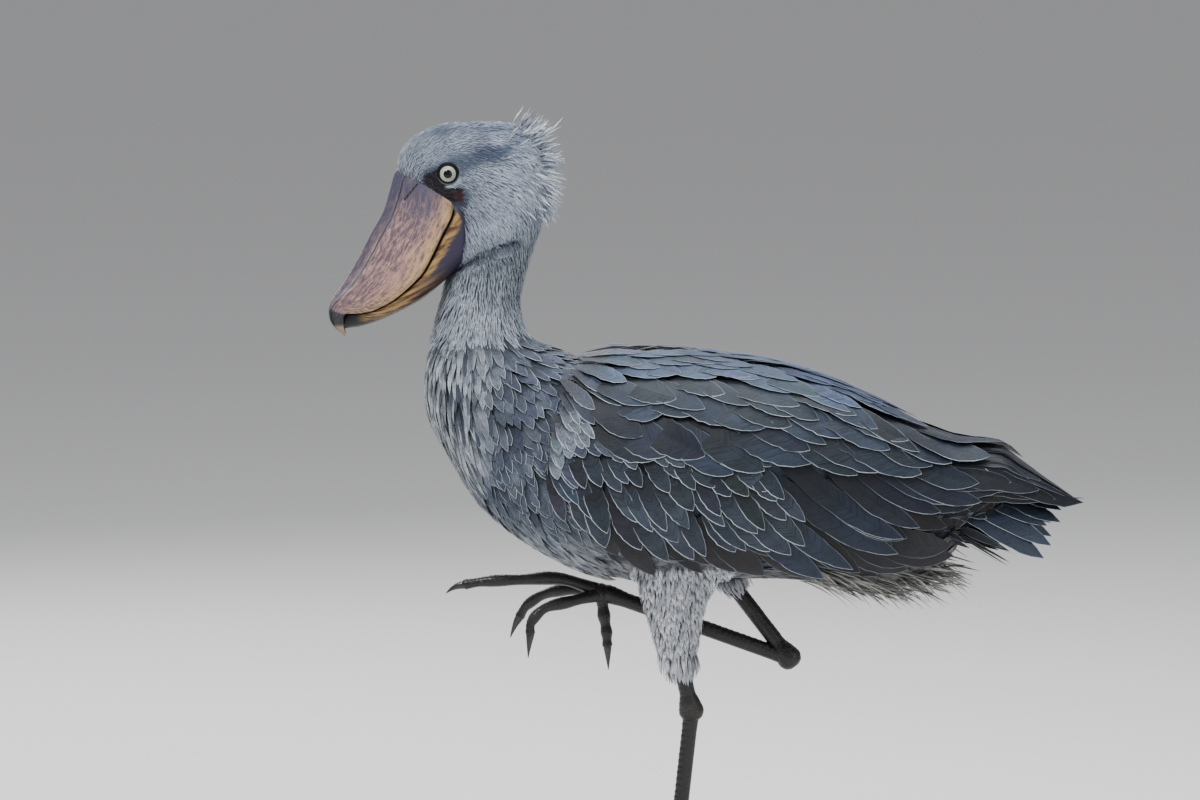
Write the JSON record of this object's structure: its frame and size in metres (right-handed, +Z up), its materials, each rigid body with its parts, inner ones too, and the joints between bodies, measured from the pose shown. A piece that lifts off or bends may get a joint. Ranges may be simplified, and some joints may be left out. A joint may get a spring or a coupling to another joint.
{
  "type": "shoebill",
  "caption": "Still, life-size shoebill wading with its right foot raised: broad hooked bill, nape tuft, folded wings and tail, long dark legs.",
  "frame": {"origin": "on the floor under the middle of the standing left foot", "axes": "+Z up, -X along the way the bird faces, -Y to the bird's left"},
  "size_m": [0.8938, 0.2607, 0.9667],
  "materials": {
    "plumage_grey": "soft blue-grey body plumage",
    "plumage_wing": "dark slate wing and tail feathers with pale edges",
    "plumage_thigh": "pale grey downy thigh plumage",
    "bill_horn": "pink-tan horn with grey blotches",
    "mandible_horn": "yellow-tan horn with dark grain",
    "eye": "pale grey-green iris, black pupil, wet gloss",
    "leg_skin": "near-black scaled skin, damp sheen",
    "claw_horn": "dark worn horn"
  },
  "bodies": {
    "root": {"head": "plumage_grey", "neck": "plumage_grey", "torso": "plumage_grey", "bill_upper": "bill_horn", "bill_lower": "mandible_horn", "eye_left": "eye", "eye_right": "eye", "wing_left": "plumage_wing", "wing_right": "plumage_wing", "tail": "plumage_wing", "thigh_left": "plumage_thigh", "thigh_right": "plumage_thigh", "shank_left": "leg_skin", "tarsus_left": "leg_skin", "foot_left": "leg_skin", "toe_left_middle": "leg_skin", "claw_left_middle": "claw_horn", "toe_left_inner": "leg_skin", "claw_left_inner": "claw_horn", "toe_left_outer": "leg_skin", "claw_left_outer": "claw_horn", "toe_left_hind": "leg_skin", "claw_left_hind": "claw_horn", "shank_right": "leg_skin", "tarsus_right": "leg_skin", "foot_right": "leg_skin", "toe_right_middle": "leg_skin", "claw_right_middle": "claw_horn", "toe_right_inner": "leg_skin", "claw_right_inner": "claw_horn", "toe_right_outer": "leg_skin", "claw_right_outer": "claw_horn", "toe_right_hind": "leg_skin", "claw_right_hind": "claw_horn"}
  },
  "joints": []
}
